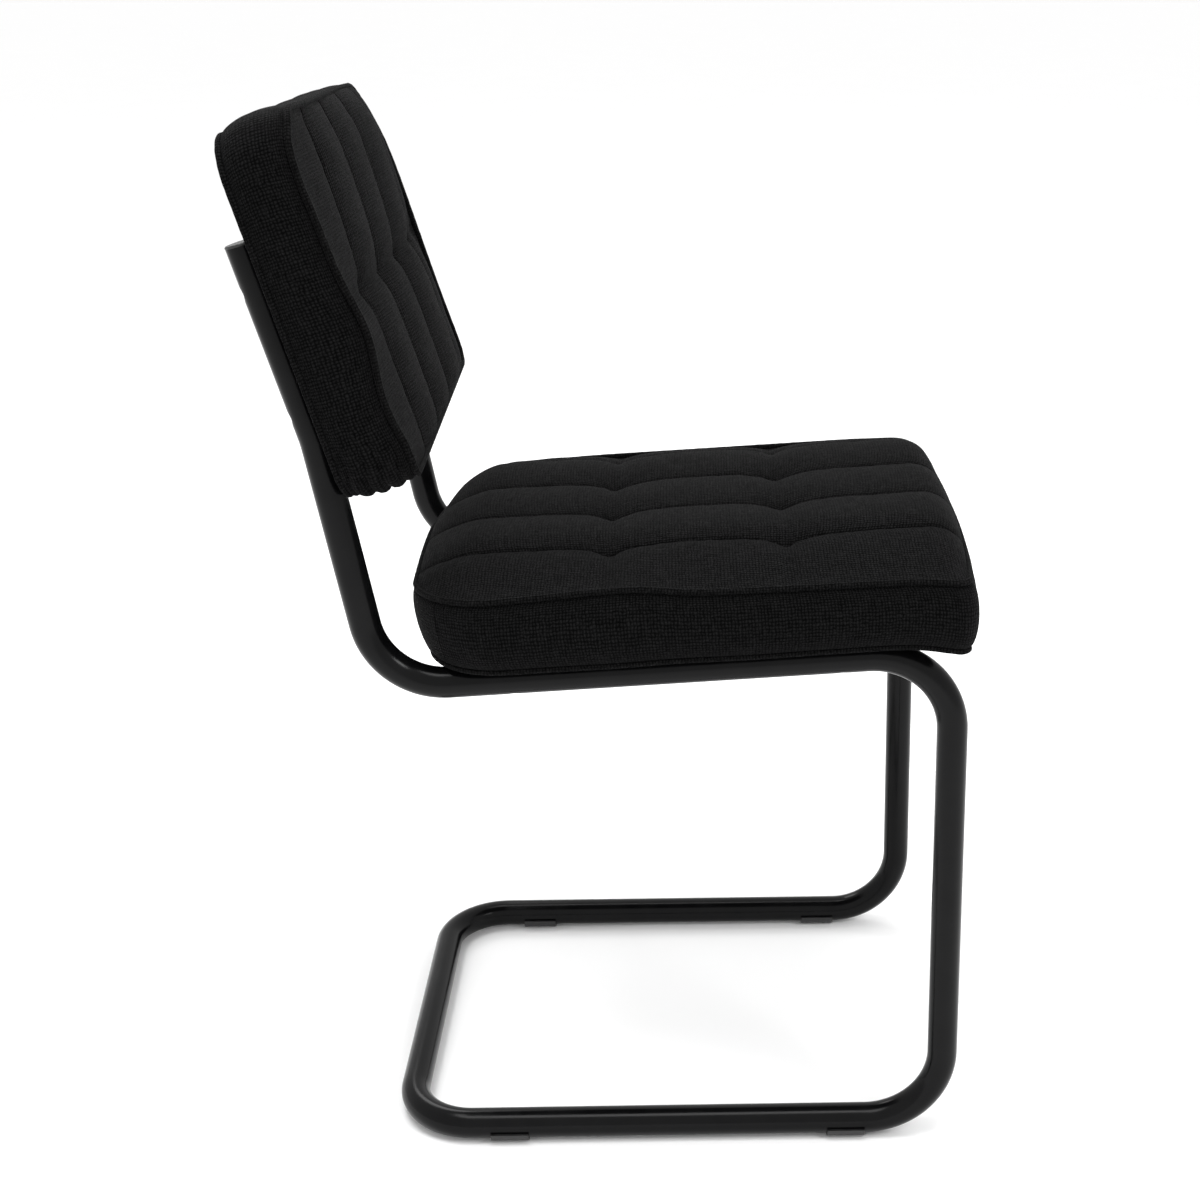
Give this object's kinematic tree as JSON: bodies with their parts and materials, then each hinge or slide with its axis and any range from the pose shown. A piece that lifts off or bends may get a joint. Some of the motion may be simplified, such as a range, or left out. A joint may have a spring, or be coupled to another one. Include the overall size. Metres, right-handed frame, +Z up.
{
  "type": "cantilever dining chair",
  "caption": "Cantilever dining chair: a bent black tube frame carries a channelled, tufted seat cushion and back cushion in coarse black fabric.",
  "frame": {"origin": "on the floor, under the middle of the chair's box", "axes": "+Z up, -Y the way the sitter faces, +X the sitter's left hand side"},
  "size_m": [0.41, 0.548, 0.8326],
  "materials": {
    "frame_paint": "satin black powder coat on steel tube",
    "bare_steel": "zinc plated steel",
    "black_steel": "black oxide screw",
    "black_plastic": "moulded black plastic",
    "woven_fabric": "coarse black woven upholstery fabric",
    "lining_cloth": "thin black lining cloth",
    "foam": "cut foam block",
    "plywood": "raw plywood",
    "twine": "waxed black twine"
  },
  "bodies": {
    "root": {"right_frame_tube": "frame_paint", "left_frame_tube": "frame_paint", "frame_joint_sleeve": "bare_steel", "right_upright_cap": "black_plastic", "left_upright_cap": "black_plastic", "right_front_glide": "black_plastic", "right_rear_glide": "black_plastic", "left_front_glide": "black_plastic", "left_rear_glide": "black_plastic", "seat_cover": "woven_fabric", "seat_foam": "foam", "seat_board": "plywood", "seat_under_cloth": "lining_cloth", "seat_upper_piping": "woven_fabric", "seat_lower_piping": "woven_fabric", "seat_screws": "black_steel", "seat_insert_nuts": "bare_steel", "seat_tuft_ties": "twine", "back_cover": "woven_fabric", "back_foam": "foam", "back_board": "plywood", "back_under_cloth": "lining_cloth", "back_upper_piping": "woven_fabric", "back_lower_piping": "woven_fabric", "back_screws": "black_steel", "back_insert_nuts": "bare_steel", "back_tuft_ties": "twine"}
  },
  "joints": []
}
